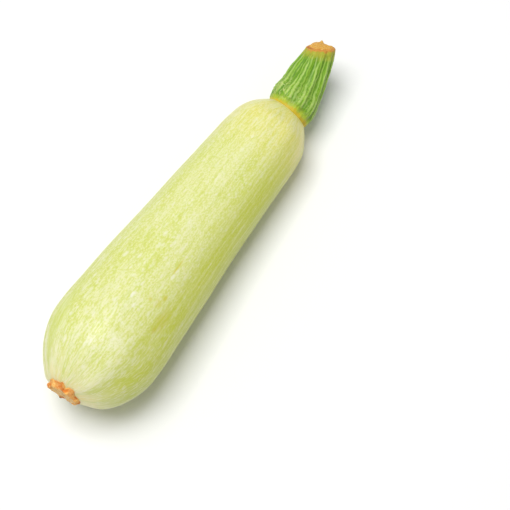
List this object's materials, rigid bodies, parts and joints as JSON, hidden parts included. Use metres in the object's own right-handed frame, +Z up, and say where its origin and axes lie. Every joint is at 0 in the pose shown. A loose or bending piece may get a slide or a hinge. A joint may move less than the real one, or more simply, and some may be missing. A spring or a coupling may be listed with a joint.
{
  "type": "marrow",
  "caption": "Pale green marrow lying on its side, with faint lengthwise ribs, a ridged cut stem and a corky blossom scar.",
  "frame": {"origin": "middle of the footprint of the whole part's box, on the surface the marrow lies on", "axes": "+X from the blossom end to the stem, +Z up, +Y to the left when looking along +X"},
  "size_m": [0.266, 0.0692, 0.0702],
  "materials": {
    "skin": "smooth waxy skin, pale yellow-green with fine paler dashes along its length, slightly glossy",
    "stem_green": "ridged and matt, green with pale streaks, yellow at the foot, dried orange-brown at the cut",
    "cork": "rough dry cork, tan on its face and orange-brown on its lobes"
  },
  "bodies": {
    "root": {"fruit": "skin", "stem": "stem_green", "blossom_scar": "cork"}
  },
  "joints": []
}
